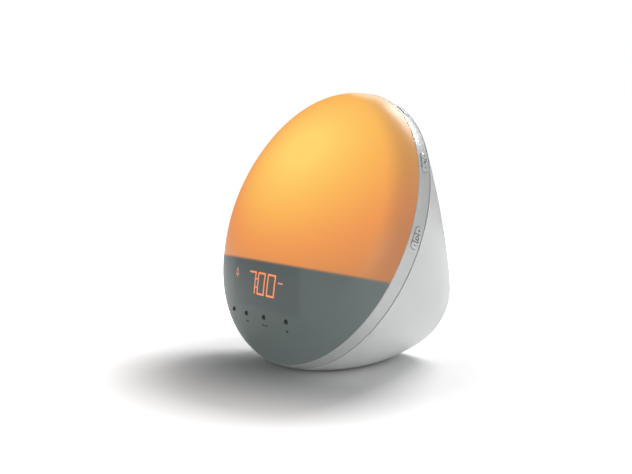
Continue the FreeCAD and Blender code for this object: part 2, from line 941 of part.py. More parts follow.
def make_dc_jack():
    half = inlet_half_width
    low = housing_wall
    body = box((-half, half), (inlet_y - half, inlet_y + half), (low, low + inlet_length))
    body = body.cut(cylinder(inlet_bore_radius, low - 1, low + inlet_bore_depth, 0, inlet_y))
    pin = cylinder(inlet_pin_radius, low + inlet_wall, low + inlet_bore_depth, 0, inlet_y)
    return placed(body.fuse(pin), tail_place)


# Screws: drawn with the seat of the head at 0 and the shank along +Z

def screw(shank, length, head, height):
    reach = 0.7 * head
    slot = box((-reach, reach), (-screw_slot_half, screw_slot_half), (-height - 1, -0.6 * height))
    cross = placed(slot, Placement(ORIGIN, Rotation(Z_AXIS, 90)))
    return cylinder(head, -height, 0).fuse(cylinder(shank, 0, length)).cut(slot.fuse(cross))


def screws_at(places, seat, shape, flip=False):
    turn = Rotation(X_AXIS, 180 if flip else 0)
    return [placed(shape, Placement(Vector(x, y, seat), turn)) for x, y in places]


def make_frame_screws():
    shape = screw(screw_radius, plate_thickness + screw_bite, screw_head_radius, screw_head_height)
    places = [polar(lug_circle, angle) for angle in screw_angles]
    return placed(Part.makeCompound(screws_at(places, plate_back, shape)), front_place)


def make_housing_screws():
    shape = screw(screw_radius, well_seat + well_gap + screw_bite, screw_head_radius, screw_head_height)
    pieces = []
    for x, y in well_places():
        seat = boss_end(x, y) - well_gap - well_seat
        pieces += screws_at([(x, y)], seat, shape)
    return placed(Part.makeCompound(pieces), tail_place)


def make_board_screws():
    length = board_thickness + screw_bite - 1
    shape = screw(small_screw_radius, length, small_head_radius, small_head_height)
    pieces = screws_at(main_posts(), main_back, shape)
    pieces += screws_at(display_posts(), display_board_front, shape, True)
    return placed(Part.makeCompound(pieces), front_place)


def main():
    save("front_diffuser", make_front_diffuser())
    save("bezel_ring", make_bezel_ring())
    save("rear_housing", make_rear_housing())
    save("base_foot", make_base_foot())
    save("mid_frame", make_mid_frame())
    save("led_board", make_led_board())
    save("warm_leds", make_leds(warm_ring_radius, warm_count))
    save("amber_leds", make_leds(amber_ring_radius, amber_count))
    save("light_reflector", make_light_reflector())
    save("light_partition", make_light_partition())
    save("display_board", make_display_board())
    save("display_module", make_display_module())
    save("display_segments", make_display_segments())
    save("front_key_switches", make_front_switches())
    save("ring_key_boards", make_ring_key_boards())
    save("ring_key_switches", make_ring_key_switches())
    save("key_flex", make_key_flex())
    save("main_board", make_main_board())
    save("board_chips", make_board_chips())
    save("board_capacitors", make_board_capacitors())
    save("display_ribbon", make_display_ribbon())
    save("led_lead", make_led_lead())
    save("speaker_lead", make_speaker_lead())
    save("inlet_lead", make_inlet_lead())
    save("speaker_gasket", make_speaker_gasket())
    save("speaker_frame", make_speaker_frame())
    save("speaker_magnet", make_speaker_magnet())
    save("speaker_cone", make_speaker_cone())
    save("dc_jack", make_dc_jack())
    save("frame_screws", make_frame_screws())
    save("housing_screws", make_housing_screws())
    save("board_screws", make_board_screws())
    for name, angle, half_length, low, high in ring_key_list():
        save(name, placed(turned_to(ring_key(half_length, low, high), angle), front_place))
    names = ("front_key_one", "front_key_two", "front_key_three", "front_key_four")
    for name, (x, y) in zip(names, front_key_places()):
        save(name, front_key(x, y))


main()
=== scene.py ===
import bpy
import json
import math
from mathutils import Matrix, Vector


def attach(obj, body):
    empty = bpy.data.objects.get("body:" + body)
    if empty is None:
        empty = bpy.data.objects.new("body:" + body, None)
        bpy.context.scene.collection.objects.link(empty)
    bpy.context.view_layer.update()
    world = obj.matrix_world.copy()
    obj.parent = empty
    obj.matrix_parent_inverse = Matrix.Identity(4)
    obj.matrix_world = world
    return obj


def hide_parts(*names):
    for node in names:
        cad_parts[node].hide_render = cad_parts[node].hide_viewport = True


bl_info = {
    "name": "Sunrise lamp clock",
    "version": (1, 0, 0),
    "blender": (4, 5, 0),
    "location": "View3D > Sidebar > Lamp clock",
    "description": "Dresses the packed lamp clock with its dome, ring, housing, keys and glow",
    "category": "Object",
}

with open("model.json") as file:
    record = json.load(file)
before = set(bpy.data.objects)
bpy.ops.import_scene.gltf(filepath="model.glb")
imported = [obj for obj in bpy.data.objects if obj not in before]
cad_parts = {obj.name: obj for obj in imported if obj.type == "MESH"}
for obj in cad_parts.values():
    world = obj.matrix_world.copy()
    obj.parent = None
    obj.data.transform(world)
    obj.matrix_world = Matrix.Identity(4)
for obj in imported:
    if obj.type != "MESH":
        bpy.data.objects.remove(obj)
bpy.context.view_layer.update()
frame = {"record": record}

MM = 0.001
# Points nearer than this are one point
TOUCHING = 1e-6
BODY = "clock_body"
LEAN = math.radians(20.7)
RING_CENTRE = Vector((0.0, -0.017, 0.0951))
FRONT = Matrix.Translation(RING_CENTRE) @ Matrix.Rotation(math.pi / 2 - LEAN, 4, "X")
# The key groups' places around the ring, from its right side
SOUND_ANGLE = math.radians(30)
ALARM_ANGLE = math.radians(60)
OTHER_ALARM_ANGLE = math.radians(120)


# Settings

class ShapeSettings(bpy.types.PropertyGroup):
    ring_radius: bpy.props.FloatProperty(
        name="Ring radius", description="Outer radius of the silver ring",
        default=96.5 * MM, unit="LENGTH", precision=5)
    ring_bore: bpy.props.FloatProperty(
        name="Ring bore", description="Inner radius of the silver ring",
        default=91.2 * MM, unit="LENGTH", precision=5)
    ring_depth: bpy.props.FloatProperty(
        name="Ring depth", description="Depth of the silver band seen from the side",
        default=9.2 * MM, unit="LENGTH", precision=5)
    tongue_length: bpy.props.FloatProperty(
        name="Tongue length", description="Length of the tongue that enters the housing",
        default=1.8 * MM, unit="LENGTH", precision=5)
    rebate_radius: bpy.props.FloatProperty(
        name="Rebate radius", description="Radius of the step that holds the dome",
        default=95.2 * MM, unit="LENGTH", precision=5)
    rebate_depth: bpy.props.FloatProperty(
        name="Rebate depth", description="Depth of the step that holds the dome",
        default=1.7 * MM, unit="LENGTH", precision=5)
    dome_radius: bpy.props.FloatProperty(
        name="Dome radius", description="Radius of the dome at its edge",
        default=96.2 * MM, unit="LENGTH", precision=5)
    dome_lift: bpy.props.FloatProperty(
        name="Dome lift", description="Gap between the dome's edge and the ring",
        default=0.3 * MM, unit="LENGTH", precision=5)
    crown_radius: bpy.props.FloatProperty(
        name="Crown radius", description="Radius of the dome's flat crown",
        default=153.7 * MM, unit="LENGTH", precision=5)
    shoulder_radius: bpy.props.FloatProperty(
        name="Shoulder radius", description="Radius of the dome's tight edge",
        default=29.6 * MM, unit="LENGTH", precision=5)
    edge_slope: bpy.props.FloatProperty(
        name="Edge slope", description="Slope of the dome at its edge",
        default=math.radians(78.7), subtype="ANGLE", unit="ROTATION")
    dome_wall: bpy.props.FloatProperty(
        name="Dome wall", description="Thickness of the dome",
        default=2.2 * MM, unit="LENGTH", precision=5)
    spigot_radius: bpy.props.FloatProperty(
        name="Spigot radius", description="Outer radius of the dome's spigot",
        default=95.0 * MM, unit="LENGTH", precision=5)
    spigot_bore: bpy.props.FloatProperty(
        name="Spigot bore", description="Inner radius of the dome's spigot",
        default=93.2 * MM, unit="LENGTH", precision=5)


class KeySettings(bpy.types.PropertyGroup):
    slot_depth: bpy.props.FloatProperty(
        name="Key line", description="Distance of the ring keys behind the ring's front edge",
        default=5.2 * MM, unit="LENGTH", precision=5)
    slot_half_width: bpy.props.FloatProperty(
        name="Slot half width", description="Half the width of a key slot",
        default=2.9 * MM, unit="LENGTH", precision=5)
    group_half_length: bpy.props.FloatProperty(
        name="Group half length", description="Half the length of a slot for three keys",
        default=7.2 * MM, unit="LENGTH", precision=5)
    alarm_half_length: bpy.props.FloatProperty(
        name="Alarm half length", description="Half the length of a slot for one key",
        default=6.7 * MM, unit="LENGTH", precision=5)
    mark_radius: bpy.props.FloatProperty(
        name="Mark radius", description="Distance of the printed marks from the ring's axis",
        default=97.33 * MM, unit="LENGTH", precision=5)
    side_place: bpy.props.FloatProperty(
        name="Side key place", description="Distance of a side key's sign from its group's middle",
        default=4.5 * MM, unit="LENGTH", precision=5)
    front_pitch: bpy.props.FloatProperty(
        name="Front key pitch", description="Spacing of the four front keys",
        default=21.5 * MM, unit="LENGTH", precision=5)
    front_row: bpy.props.FloatProperty(
        name="Front key row", description="Height of the front key row on the face",
        default=-70.3 * MM, unit="LENGTH", precision=5)
    front_hole: bpy.props.FloatProperty(
        name="Front key hole", description="Radius of the holes for the front keys",
        default=1.62 * MM, unit="LENGTH", precision=5)


class DisplaySettings(bpy.types.PropertyGroup):
    digit_height: bpy.props.FloatProperty(
        name="Digit height", description="Height of a digit between stroke centres",
        default=13.0 * MM, unit="LENGTH", precision=5)
    digit_width: bpy.props.FloatProperty(
        name="Digit width", description="Width of a digit between stroke centres",
        default=6.9 * MM, unit="LENGTH", precision=5)
    digit_pitch: bpy.props.FloatProperty(
        name="Digit pitch", description="Spacing of the digits",
        default=10.3 * MM, unit="LENGTH", precision=5)
    stroke: bpy.props.FloatProperty(
        name="Stroke", description="Width of a lit stroke",
        default=1.15 * MM, unit="LENGTH", precision=5)
    slant: bpy.props.FloatProperty(
        name="Slant", description="Lean of the digits",
        default=math.radians(9.0), subtype="ANGLE", unit="ROTATION")
    centre_x: bpy.props.FloatProperty(
        name="Centre across", description="Middle digit's place across the face",
        default=9.2 * MM, unit="LENGTH", precision=5)
    centre_y: bpy.props.FloatProperty(
        name="Centre height", description="Digits' place up the face",
        default=-50.3 * MM, unit="LENGTH", precision=5)
    digit_colour: bpy.props.FloatVectorProperty(
        name="Digit colour", description="Colour of the lit digits",
        default=(0.80, 0.235, 0.085), subtype="COLOR", size=3, min=0.0, max=1.0)


class GlowSettings(bpy.types.PropertyGroup):
    heart_colour: bpy.props.FloatVectorProperty(
        name="Heart colour", description="Glow at its brightest",
        default=(1.0, 0.655, 0.15), subtype="COLOR", size=3, min=0.0, max=1.0)
    middle_colour: bpy.props.FloatVectorProperty(
        name="Middle colour", description="Glow half way to the edge",
        default=(0.95, 0.47, 0.10), subtype="COLOR", size=3, min=0.0, max=1.0)
    outer_colour: bpy.props.FloatVectorProperty(
        name="Outer colour", description="Glow near the edge",
        default=(0.86, 0.315, 0.09), subtype="COLOR", size=3, min=0.0, max=1.0)
    rim_colour: bpy.props.FloatVectorProperty(
        name="Rim colour", description="Glow at the edge",
        default=(0.56, 0.225, 0.09), subtype="COLOR", size=3, min=0.0, max=1.0)
    # Painted shade: the lower part is the same white plastic as the rest of the dome, given here the grey
    # it shows unlit beside the glow.
    shaded_panel_colour: bpy.props.FloatVectorProperty(
        name="Panel colour", description="Unlit lower part of the dome",
        default=(0.135, 0.163, 0.158), subtype="COLOR", size=3, min=0.0, max=1.0)
    window_colour: bpy.props.FloatVectorProperty(
        name="Window colour", description="Dome over the display's black block",
        default=(0.118, 0.142, 0.139), subtype="COLOR", size=3, min=0.0, max=1.0)
    horizon: bpy.props.FloatProperty(
        name="Horizon", description="Height of the glow's lower edge on the face",
        default=-30.2 * MM, unit="LENGTH", precision=5)
    horizon_slope: bpy.props.FloatProperty(
        name="Horizon slope", description="Lean of the wall below the glow",
        default=math.radians(-8.66), subtype="ANGLE", unit="ROTATION")
    horizon_blur: bpy.props.FloatProperty(
        name="Horizon blur", description="Width of the glow's soft lower edge",
        default=3.2 * MM, unit="LENGTH", precision=5)
    heart_x: bpy.props.FloatProperty(
        name="Heart across", description="Glow's brightest place across the face",
        default=15.0 * MM, unit="LENGTH", precision=5)
    heart_y: bpy.props.FloatProperty(
        name="Heart height", description="Glow's brightest place up the face",
        default=42.0 * MM, unit="LENGTH", precision=5)
    strength: bpy.props.FloatProperty(
        name="Glow strength", description="Strength of the glow", default=1.0, min=0.0)
    # Painted light: the unlit panel glows in its own grey so that it keeps that grey whatever the lamps
    # do; part of it is light leaking from the lamp inside.
    painted_panel_glow: bpy.props.FloatProperty(
        name="Stray light", description="Light that leaks into the unlit lower part", default=0.42,
        min=0.0)


class StageSettings(bpy.types.PropertyGroup):
    camera_azimuth: bpy.props.FloatProperty(
        name="Camera azimuth", description="Camera's turn to the right of the front",
        default=math.radians(55.226), subtype="ANGLE", unit="ROTATION")
    camera_rise: bpy.props.FloatProperty(
        name="Camera rise", description="Camera's look down",
        default=math.radians(4.717), subtype="ANGLE", unit="ROTATION")
    camera_place: bpy.props.FloatVectorProperty(
        name="Camera place", description="Camera's place",
        default=(0.5218, -0.3804, 0.1401), subtype="TRANSLATION", unit="LENGTH", size=3)
    camera_lens: bpy.props.FloatProperty(
        name="Lens", description="Camera's focal length in millimetres", default=53.54)
    floor_size: bpy.props.FloatProperty(
        name="Floor size", description="Side of the square floor", default=14.0, unit="LENGTH")
    white_middle: bpy.props.FloatProperty(
        name="White middle", description="Distance at which the floor is half way to white",
        default=0.155, unit="LENGTH")
    white_blur: bpy.props.FloatProperty(
        name="White blur", description="Width of the floor's change to white",
        default=0.25, unit="LENGTH")
    mirrored_white: bpy.props.FloatProperty(
        name="Mirrored white", description="How white reflections see the floor", default=0.3)
    key_power: bpy.props.FloatProperty(
        name="Key light", description="Power of the large light above", default=17.0)
    fill_power: bpy.props.FloatProperty(
        name="Fill light", description="Power of the soft light at the front", default=5.5)
    side_power: bpy.props.FloatProperty(
        name="Side light", description="Power of the soft light at the right", default=7.0)
    rim_power: bpy.props.FloatProperty(
        name="Rim light", description="Power of the light that shines in the dome's top edge",
        default=1.9)
    ambient: bpy.props.FloatProperty(
        name="Surroundings", description="Brightness of the surroundings as a light", default=0.09)


def shape():
    return bpy.context.scene.lamp_shape


def keys():
    return bpy.context.scene.lamp_keys


def display():
    return bpy.context.scene.lamp_display


def glow():
    return bpy.context.scene.lamp_glow


# Dome surface, in the front frame

def dome_facts():
    # The shoulder circle's radius and height, the angle where it meets the crown, the crown's centre.
    s = shape()
    circle = s.dome_radius - s.shoulder_radius * math.sin(s.edge_slope)
    height = s.dome_lift - s.shoulder_radius * math.cos(s.edge_slope)
    span = s.crown_radius - s.shoulder_radius
    meeting = math.asin(circle / span)
    crown = height - span * math.cos(meeting)
    return circle, height, meeting, crown


def dome_height(radius):
    s = shape()
    circle, height, meeting, crown = dome_facts()
    if radius < s.crown_radius * math.sin(meeting):
        return crown + math.sqrt(s.crown_radius ** 2 - radius ** 2)
    return height + math.sqrt(max(0.0, s.shoulder_radius ** 2 - (radius - circle) ** 2))


def dome_outline(inset, last_slope, steps):
    # From the axis along the crown, then round the shoulder to the last slope.
    s = shape()
    circle, height, meeting, crown = dome_facts()
    points = []
    for i in range(steps):
        a = meeting * i / steps
        radius = s.crown_radius - inset
        points.append((radius * math.sin(a), crown + radius * math.cos(a)))
    for i in range(steps + 1):
        a = meeting + (last_slope - meeting) * i / steps
        radius = s.shoulder_radius - inset
        points.append((circle + radius * math.sin(a), height + radius * math.cos(a)))
    return points


# Modelling helpers

def clear_selection():
    if bpy.context.object and bpy.context.object.mode != "OBJECT":
        bpy.ops.object.mode_set(mode="OBJECT")
    bpy.ops.object.select_all(action="DESELECT")


def activate(obj):
    clear_selection()
    obj.select_set(True)
    bpy.context.view_layer.objects.active = obj


def settle(obj, matrix):
    # Puts a place into the mesh, so that the object itself stays at the origin.
    activate(obj)
    obj.data.transform(matrix @ obj.matrix_world)
    obj.matrix_world = Matrix.Identity(4)
    obj.data.update()


def spun(name, outline, steps, closed):
    # A turned piece: one point drawn out along its outline, then spun about Z.
    points = [Vector((r, 0.0, z)) for r, z in outline]
    if closed:
        points.append(points[0])
    clear_selection()
    bpy.ops.mesh.primitive_plane_add(size=MM)
    obj = bpy.context.object
    obj.name = name
    bpy.ops.object.mode_set(mode="EDIT")
    bpy.ops.mesh.select_all(action="SELECT")
    bpy.ops.mesh.merge(type="CENTER")
    bpy.ops.transform.translate(value=points[0])
    for before, after in zip(points, points[1:]):
        bpy.ops.mesh.extrude_region_move(TRANSFORM_OT_translate={"value": after - before})
    bpy.ops.mesh.select_all(action="SELECT")
    bpy.ops.mesh.spin(steps=steps, angle=2 * math.pi, center=(0, 0, 0), axis=(0, 0, 1))
    bpy.ops.mesh.select_all(action="SELECT")
    bpy.ops.mesh.remove_doubles(threshold=TOUCHING)
    bpy.ops.mesh.normals_make_consistent(inside=False)
    bpy.ops.object.mode_set(mode="OBJECT")
    return obj


def rounded(points, radius):
    # A closed outline with every corner rounded by a short curve.
    result = []
    count = len(points)
    curve_steps = 4
    for i, corner in enumerate(points):
        here = Vector(corner)
        before = Vector(points[i - 1]) - here
        after = Vector(points[(i + 1) % count]) - here
        cut = min(radius, before.length / 3, after.length / 3)
        first = here + before.normalized() * cut
        last = here + after.normalized() * cut
        for step in range(curve_steps + 1):
            t = step / curve_steps
            point = first * (1 - t) ** 2 + here * 2 * t * (1 - t) + last * t ** 2
            result.append((point.x, point.y))
    return result


def cut_away(obj, cutters):
    for cutter in cutters:
        activate(obj)
        modifier = obj.modifiers.new("cut", "BOOLEAN")
        modifier.operation = "DIFFERENCE"
        modifier.solver = "EXACT"
        modifier.object = cutter
        bpy.ops.object.modifier_apply(modifier=modifier.name)
        bpy.data.objects.remove(cutter, do_unlink=True)


def smooth(obj, degrees):
    activate(obj)
    bpy.ops.object.shade_smooth_by_angle(angle=math.radians(degrees), keep_sharp_edges=False)


def dress(obj, body, material):
    obj.data.materials.clear()
    obj.data.materials.append(material)
    for polygon in obj.data.polygons:
        polygon.material_index = 0
    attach(obj, body)


def joined_copy(node, name, degrees):
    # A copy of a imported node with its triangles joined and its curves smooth.
    source = bpy.data.objects[node]
    obj = bpy.data.objects.new(name, source.data.copy())
    bpy.context.scene.collection.objects.link(obj)
    obj.matrix_world = source.matrix_world.copy()
    activate(obj)
    bpy.ops.object.mode_set(mode="EDIT")
    bpy.ops.mesh.select_all(action="SELECT")
    bpy.ops.mesh.remove_doubles(threshold=2 * TOUCHING)
    bpy.ops.object.mode_set(mode="OBJECT")
    settle(obj, Matrix.Identity(4))
    smooth(obj, degrees)
    return obj


# Material helpers

class Nodes:
    def __init__(self, name):
        self.material = bpy.data.materials.new(name)
        self.material.use_nodes = True
        self.tree = self.material.node_tree
        self.shader = self.tree.nodes["Principled BSDF"]

    def add(self, kind, **values):
        node = self.tree.nodes.new(kind)
        for key, value in values.items():
            setattr(node, key, value)
        return node

    def link(self, source, target):
        self.tree.links.new(source, target)

    def math(self, operation, a, b=None, clamp=False):
        node = self.add("ShaderNodeMath", operation=operation, use_clamp=clamp)
        for socket, value in zip(node.inputs, (a, b)):
            if value is None:
                continue
            if isinstance(value, (int, float)):
                socket.default_value = value
            else:
                self.link(value, socket)
        return node.outputs[0]

    def ramp(self, value, stops):
        node = self.add("ShaderNodeValToRGB")
        self.link(value, node.inputs[0])
        elements = node.color_ramp.elements
        while len(elements) < len(stops):
            elements.new(0.5)
        for element, (place, colour) in zip(elements, stops):
            element.position = place
            element.color = (*colour, 1.0)
        return node.outputs["Color"]

    def spread(self, noise, low, high):
        # Noise seldom leaves the middle of its range, so the two colours sit at that middle's ends.
        return self.ramp(noise, ((0.3, low), (0.7, high)))

    def mix(self, factor, a, b):
        node = self.add("ShaderNodeMix", data_type="RGBA")
        self.link(factor, node.inputs["Factor"])
        for socket, value in ((node.inputs[6], a), (node.inputs[7], b)):
            if isinstance(value, tuple):
                socket.default_value = (*value, 1.0)
            else:
                self.link(value, socket)
        return node.outputs[2]

    def tinted(self, colour, tint):
        node = self.add("ShaderNodeMix", data_type="RGBA", blend_type="MULTIPLY")
        node.inputs["Factor"].default_value = 1.0
        self.link(colour, node.inputs[6])
        self.link(tint, node.inputs[7])
        return node.outputs[2]

    def distance(self, x, y):
        squares = self.math("ADD", self.math("MULTIPLY", x, x), self.math("MULTIPLY", y, y))
        return self.math("SQRT", squares)

    def place(self):
        return self.add("ShaderNodeTexCoord").outputs["Object"]

    def noise(self, scale, detail=2.0):
        # The scale counts the noise's waves in a metre.
        node = self.add("ShaderNodeTexNoise")
        node.inputs["Scale"].default_value = scale
        node.inputs["Detail"].default_value = detail
        self.link(self.place(), node.inputs["Vector"])
        return node.outputs["Fac"]

    def bump(self, height, distance, strength):
        node = self.add("ShaderNodeBump")
        node.inputs["Distance"].default_value = distance
        node.inputs["Strength"].default_value = strength
        self.link(height, node.inputs["Height"])
        self.link(node.outputs["Normal"], self.shader.inputs["Normal"])

    def set(self, **values):
        for key, value in values.items():
            socket = self.shader.inputs[key.replace("_", " ")]
            socket.default_value = (*value, 1.0) if isinstance(value, tuple) else value


def grey(level):
    return (level, level, level)


def toned(colour, factor):
    return tuple(min(1.0, c * factor) for c in colour)


def grained(name, colour, rough, grain_scale, grain_depth, **values):
    # Moulded or painted surface: slow changes of tone, fine grain in gloss and height.
    slow_scale = 18.0
    m = Nodes(name)
    m.set(**values)
    slow = m.spread(m.noise(slow_scale), toned(colour, 0.965), toned(colour, 1.02))
    m.link(slow, m.shader.inputs["Base Color"])
    fine = m.noise(grain_scale)
    m.link(m.spread(fine, grey(rough - 0.04), grey(rough + 0.05)), m.shader.inputs["Roughness"])
    m.bump(fine, grain_depth, 0.5)
    return m.material


def white_plastic():
    return grained("satin_white_plastic", (0.80, 0.81, 0.81), 0.38, 1400.0, 0.02 * MM, Coat_Weight=0.08)


def silver_paint(name, colour):
    # Paint with fine bright flakes under a thin clear coat.
    flake_scale = 6000.0
    ripple_scale = 900.0
    m = Nodes(name)
    m.set(Metallic=0.15, Roughness=0.34, Coat_Weight=0.25, Coat_Roughness=0.22)
    flake = m.add("ShaderNodeTexVoronoi")
    flake.inputs["Scale"].default_value = flake_scale
    m.link(m.place(), flake.inputs["Vector"])
    speckled = m.ramp(flake.outputs["Distance"], ((0.1, toned(colour, 0.95)), (0.8, toned(colour, 1.05))))
    m.link(speckled, m.shader.inputs["Base Color"])
    m.bump(m.noise(ripple_scale), 0.01 * MM, 0.4)
    return m.material


def ink(name, colour):
    return grained(name, colour, 0.5, 3000.0, 0.005 * MM)


def dark_rubber(name, colour):
    return grained(name, colour, 0.55, 2200.0, 0.03 * MM)


def steel(name):
    brush_scale = 1500.0
    m = Nodes(name)
    m.set(Metallic=1.0, Base_Color=(0.55, 0.55, 0.56))
    brushed = m.noise(brush_scale, 4.0)
    m.link(m.spread(brushed, grey(0.25), grey(0.45)), m.shader.inputs["Roughness"])
    m.bump(brushed, 0.01 * MM, 0.3)
    return m.material


def circuit_board(name, mask_colour, trace_colour):
    # Lacquered board with a grid of thin traces.
    trace_scale = 160.0
    trace_width = 0.012
    lacquer_scale = 700.0
    m = Nodes(name)
    m.set(Roughness=0.3, Coat_Weight=0.3)
    brick = m.add("ShaderNodeTexBrick")
    brick.inputs["Scale"].default_value = trace_scale
    brick.inputs["Mortar Size"].default_value = trace_width
    m.link(m.place(), brick.inputs["Vector"])
    m.link(m.mix(brick.outputs["Fac"], mask_colour, trace_colour), m.shader.inputs["Base Color"])
    m.bump(m.noise(lacquer_scale, 3.0), 0.02 * MM, 0.3)
    return m.material


def lit(name, colour, strength):
    # A light with a slight change of strength from place to place.
    cloud_scale = 500.0
    m = Nodes(name)
    m.set(Base_Color=colour, Roughness=0.4, Emission_Color=colour)
    level = m.spread(m.noise(cloud_scale, 1.0), grey(strength * 0.9), grey(strength))
    m.link(level, m.shader.inputs["Emission Strength"])
    return m.material


def face_coordinates(m):
    # Places on the leaning face: X across, Y up it and Z out of it.
    mapping = m.add("ShaderNodeMapping", vector_type="TEXTURE")
    mapping.inputs["Location"].default_value = RING_CENTRE
    mapping.inputs["Rotation"].default_value = (math.pi / 2 - LEAN, 0.0, 0.0)
    m.link(m.place(), mapping.inputs["Vector"])
    split = m.add("ShaderNodeSeparateXYZ")
    m.link(mapping.outputs["Vector"], split.inputs[0])
    return split.outputs


def soft_step(m, value, edge, blur):
    # 0 below the edge, 1 above it, with a smooth change as wide as the blur.
    node = m.add("ShaderNodeMapRange", interpolation_type="SMOOTHERSTEP")
    m.link(value, node.inputs["Value"])
    node.inputs["From Min"].default_value = edge - blur / 2
    node.inputs["From Max"].default_value = edge + blur / 2
    return node.outputs["Result"]


def soft_band(m, value, first, first_blur, last, last_blur):
    # 1 between two soft edges and 0 outside them.
    return m.math("SUBTRACT", soft_step(m, value, first, first_blur),
                  soft_step(m, value, last, last_blur), clamp=True)


# The display's black block: each side's place on the face and the width of its soft edge
WINDOW_ACROSS = (-30 * MM, 10 * MM, 44 * MM, 8 * MM)
WINDOW_UP = (-65 * MM, 7 * MM, -34 * MM, 6 * MM)


def window_mask(m, x, y):
    # The black block seen dimly through the dome.
    return m.math("MULTIPLY", soft_band(m, x, *WINDOW_ACROSS), soft_band(m, y, *WINDOW_UP))


def lit_mask(m, y, z):
    # 1 above the wall that ends the glow and 0 below it.
    g = glow()
    drop = m.math("MULTIPLY", z, math.tan(g.horizon_slope))
    return soft_step(m, m.math("SUBTRACT", y, drop), g.horizon, g.horizon_blur)


def glow_colour(m, x, y):
    # Rings of colour about the glow's heart, wider than high and slightly uneven.
    g = glow()
    stretch = 1.22
    reach = 100 * MM
    cloud_scale = 9.0
    cloud_depth = 10 * MM
    across = m.math("DIVIDE", m.math("SUBTRACT", x, g.heart_x), stretch)
    up = m.math("SUBTRACT", y, g.heart_y)
    cloud = m.math("MULTIPLY", m.math("SUBTRACT", m.noise(cloud_scale, 1.0), 0.5), cloud_depth)
    far = m.math("DIVIDE", m.math("ADD", m.distance(across, up), cloud), reach, clamp=True)
    return m.ramp(far, ((0.1, tuple(g.heart_colour)), (0.43, tuple(g.middle_colour)),
                        (0.68, tuple(g.outer_colour)), (1.0, tuple(g.rim_colour))))


def edge_shade(m, x, y):
    # The dome's edge is a cooler and darker orange toward the upper right.
    cool = (0.64, 0.70, 0.95)
    edge_radius = 90 * MM
    edge_blur = 13 * MM
    right_start = 62 * MM
    right_blur = 60 * MM
    edge = soft_step(m, m.distance(x, y), edge_radius, edge_blur)
    toward_right = m.math("ADD", m.math("MULTIPLY", x, 0.85), m.math("MULTIPLY", y, 0.5))
    right = soft_step(m, toward_right, right_start, right_blur)
    return m.mix(m.math("MULTIPLY", edge, right), grey(1.0), cool)


def glowing_dome():
    # Frosted plastic, lit from behind above the horizon; below it the white plastic is painted grey as
    # shade and given a painted glow of its own.
    g = glow()
    base_under_glow = (0.05, 0.03, 0.015)
    mottle_scale = 30.0
    frost_scale = 2600.0
    m = Nodes("frosted_dome")
    m.set(Specular_IOR_Level=0.16)
    x, y, z = face_coordinates(m)
    is_lit = lit_mask(m, y, z)
    shining = m.tinted(glow_colour(m, x, y), edge_shade(m, x, y))
    # Painted shade: the unlit white plastic below the horizon is shown grey.
    panel = m.mix(window_mask(m, x, y), tuple(g.shaded_panel_colour), tuple(g.window_colour))
    m.link(m.mix(is_lit, panel, shining), m.shader.inputs["Emission Color"])
    # Painted light: below the horizon the grey panel glows by itself at this strength.
    painted_panel_glow = m.math("MULTIPLY", m.math("SUBTRACT", 1.0, is_lit), g.painted_panel_glow)
    power = m.math("ADD", m.math("MULTIPLY", is_lit, g.strength), painted_panel_glow)
    m.link(power, m.shader.inputs["Emission Strength"])
    mottle = m.spread(m.noise(mottle_scale), grey(0.96), grey(1.03))
    m.link(m.mix(is_lit, m.tinted(panel, mottle), base_under_glow), m.shader.inputs["Base Color"])
    frost = m.noise(frost_scale)
    m.link(m.spread(frost, grey(0.29), grey(0.36)), m.shader.inputs["Roughness"])
    m.bump(frost, 0.006 * MM, 0.4)
    return m.material


# Pieces

def dome_profile():
    # Over the outside to the edge, down the spigot and back along the inside.
    s = shape()
    curve_steps = 26
    edge_cut = 0.15 * MM
    circle = dome_facts()[0]
    inner_slope = math.asin((s.spigot_bore - circle) / (s.shoulder_radius - s.dome_wall))
    outer = dome_outline(0.0, s.edge_slope, curve_steps)
    inner = dome_outline(s.dome_wall, inner_slope, curve_steps)
    edge = [(s.dome_radius - edge_cut, s.dome_lift), (s.spigot_radius, s.dome_lift),
            (s.spigot_radius, -s.rebate_depth), (s.spigot_bore, -s.rebate_depth)]
    return outer + edge + inner[::-1]


def front_key_cutters():
    # The row of keys bows upward by the square of the distance from its middle.
    k = keys()
    length = 60 * MM
    cutters = []
    for step in (-1.5, -0.5, 0.5, 1.5):
        x = step * k.front_pitch
        clear_selection()
        bpy.ops.mesh.primitive_cylinder_add(
            vertices=48, radius=k.front_hole, depth=length,
            location=(x, k.front_row + x * x, length / 2))
        cutters.append(bpy.context.object)
    return cutters


class LAMP_OT_dome(bpy.types.Operator):
    """Frosted dome with its glow and the holes for the front keys"""
    bl_idname = "lamp.dome"
    bl_label = "Dome"

    def execute(self, context):
        obj = spun("dome_shell", dome_profile(), steps=240, closed=False)
        cut_away(obj, front_key_cutters())
        settle(obj, FRONT)
        smooth(obj, degrees=25)
        dress(obj, BODY, glowing_dome())
        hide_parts("front_diffuser")
        return {"FINISHED"}


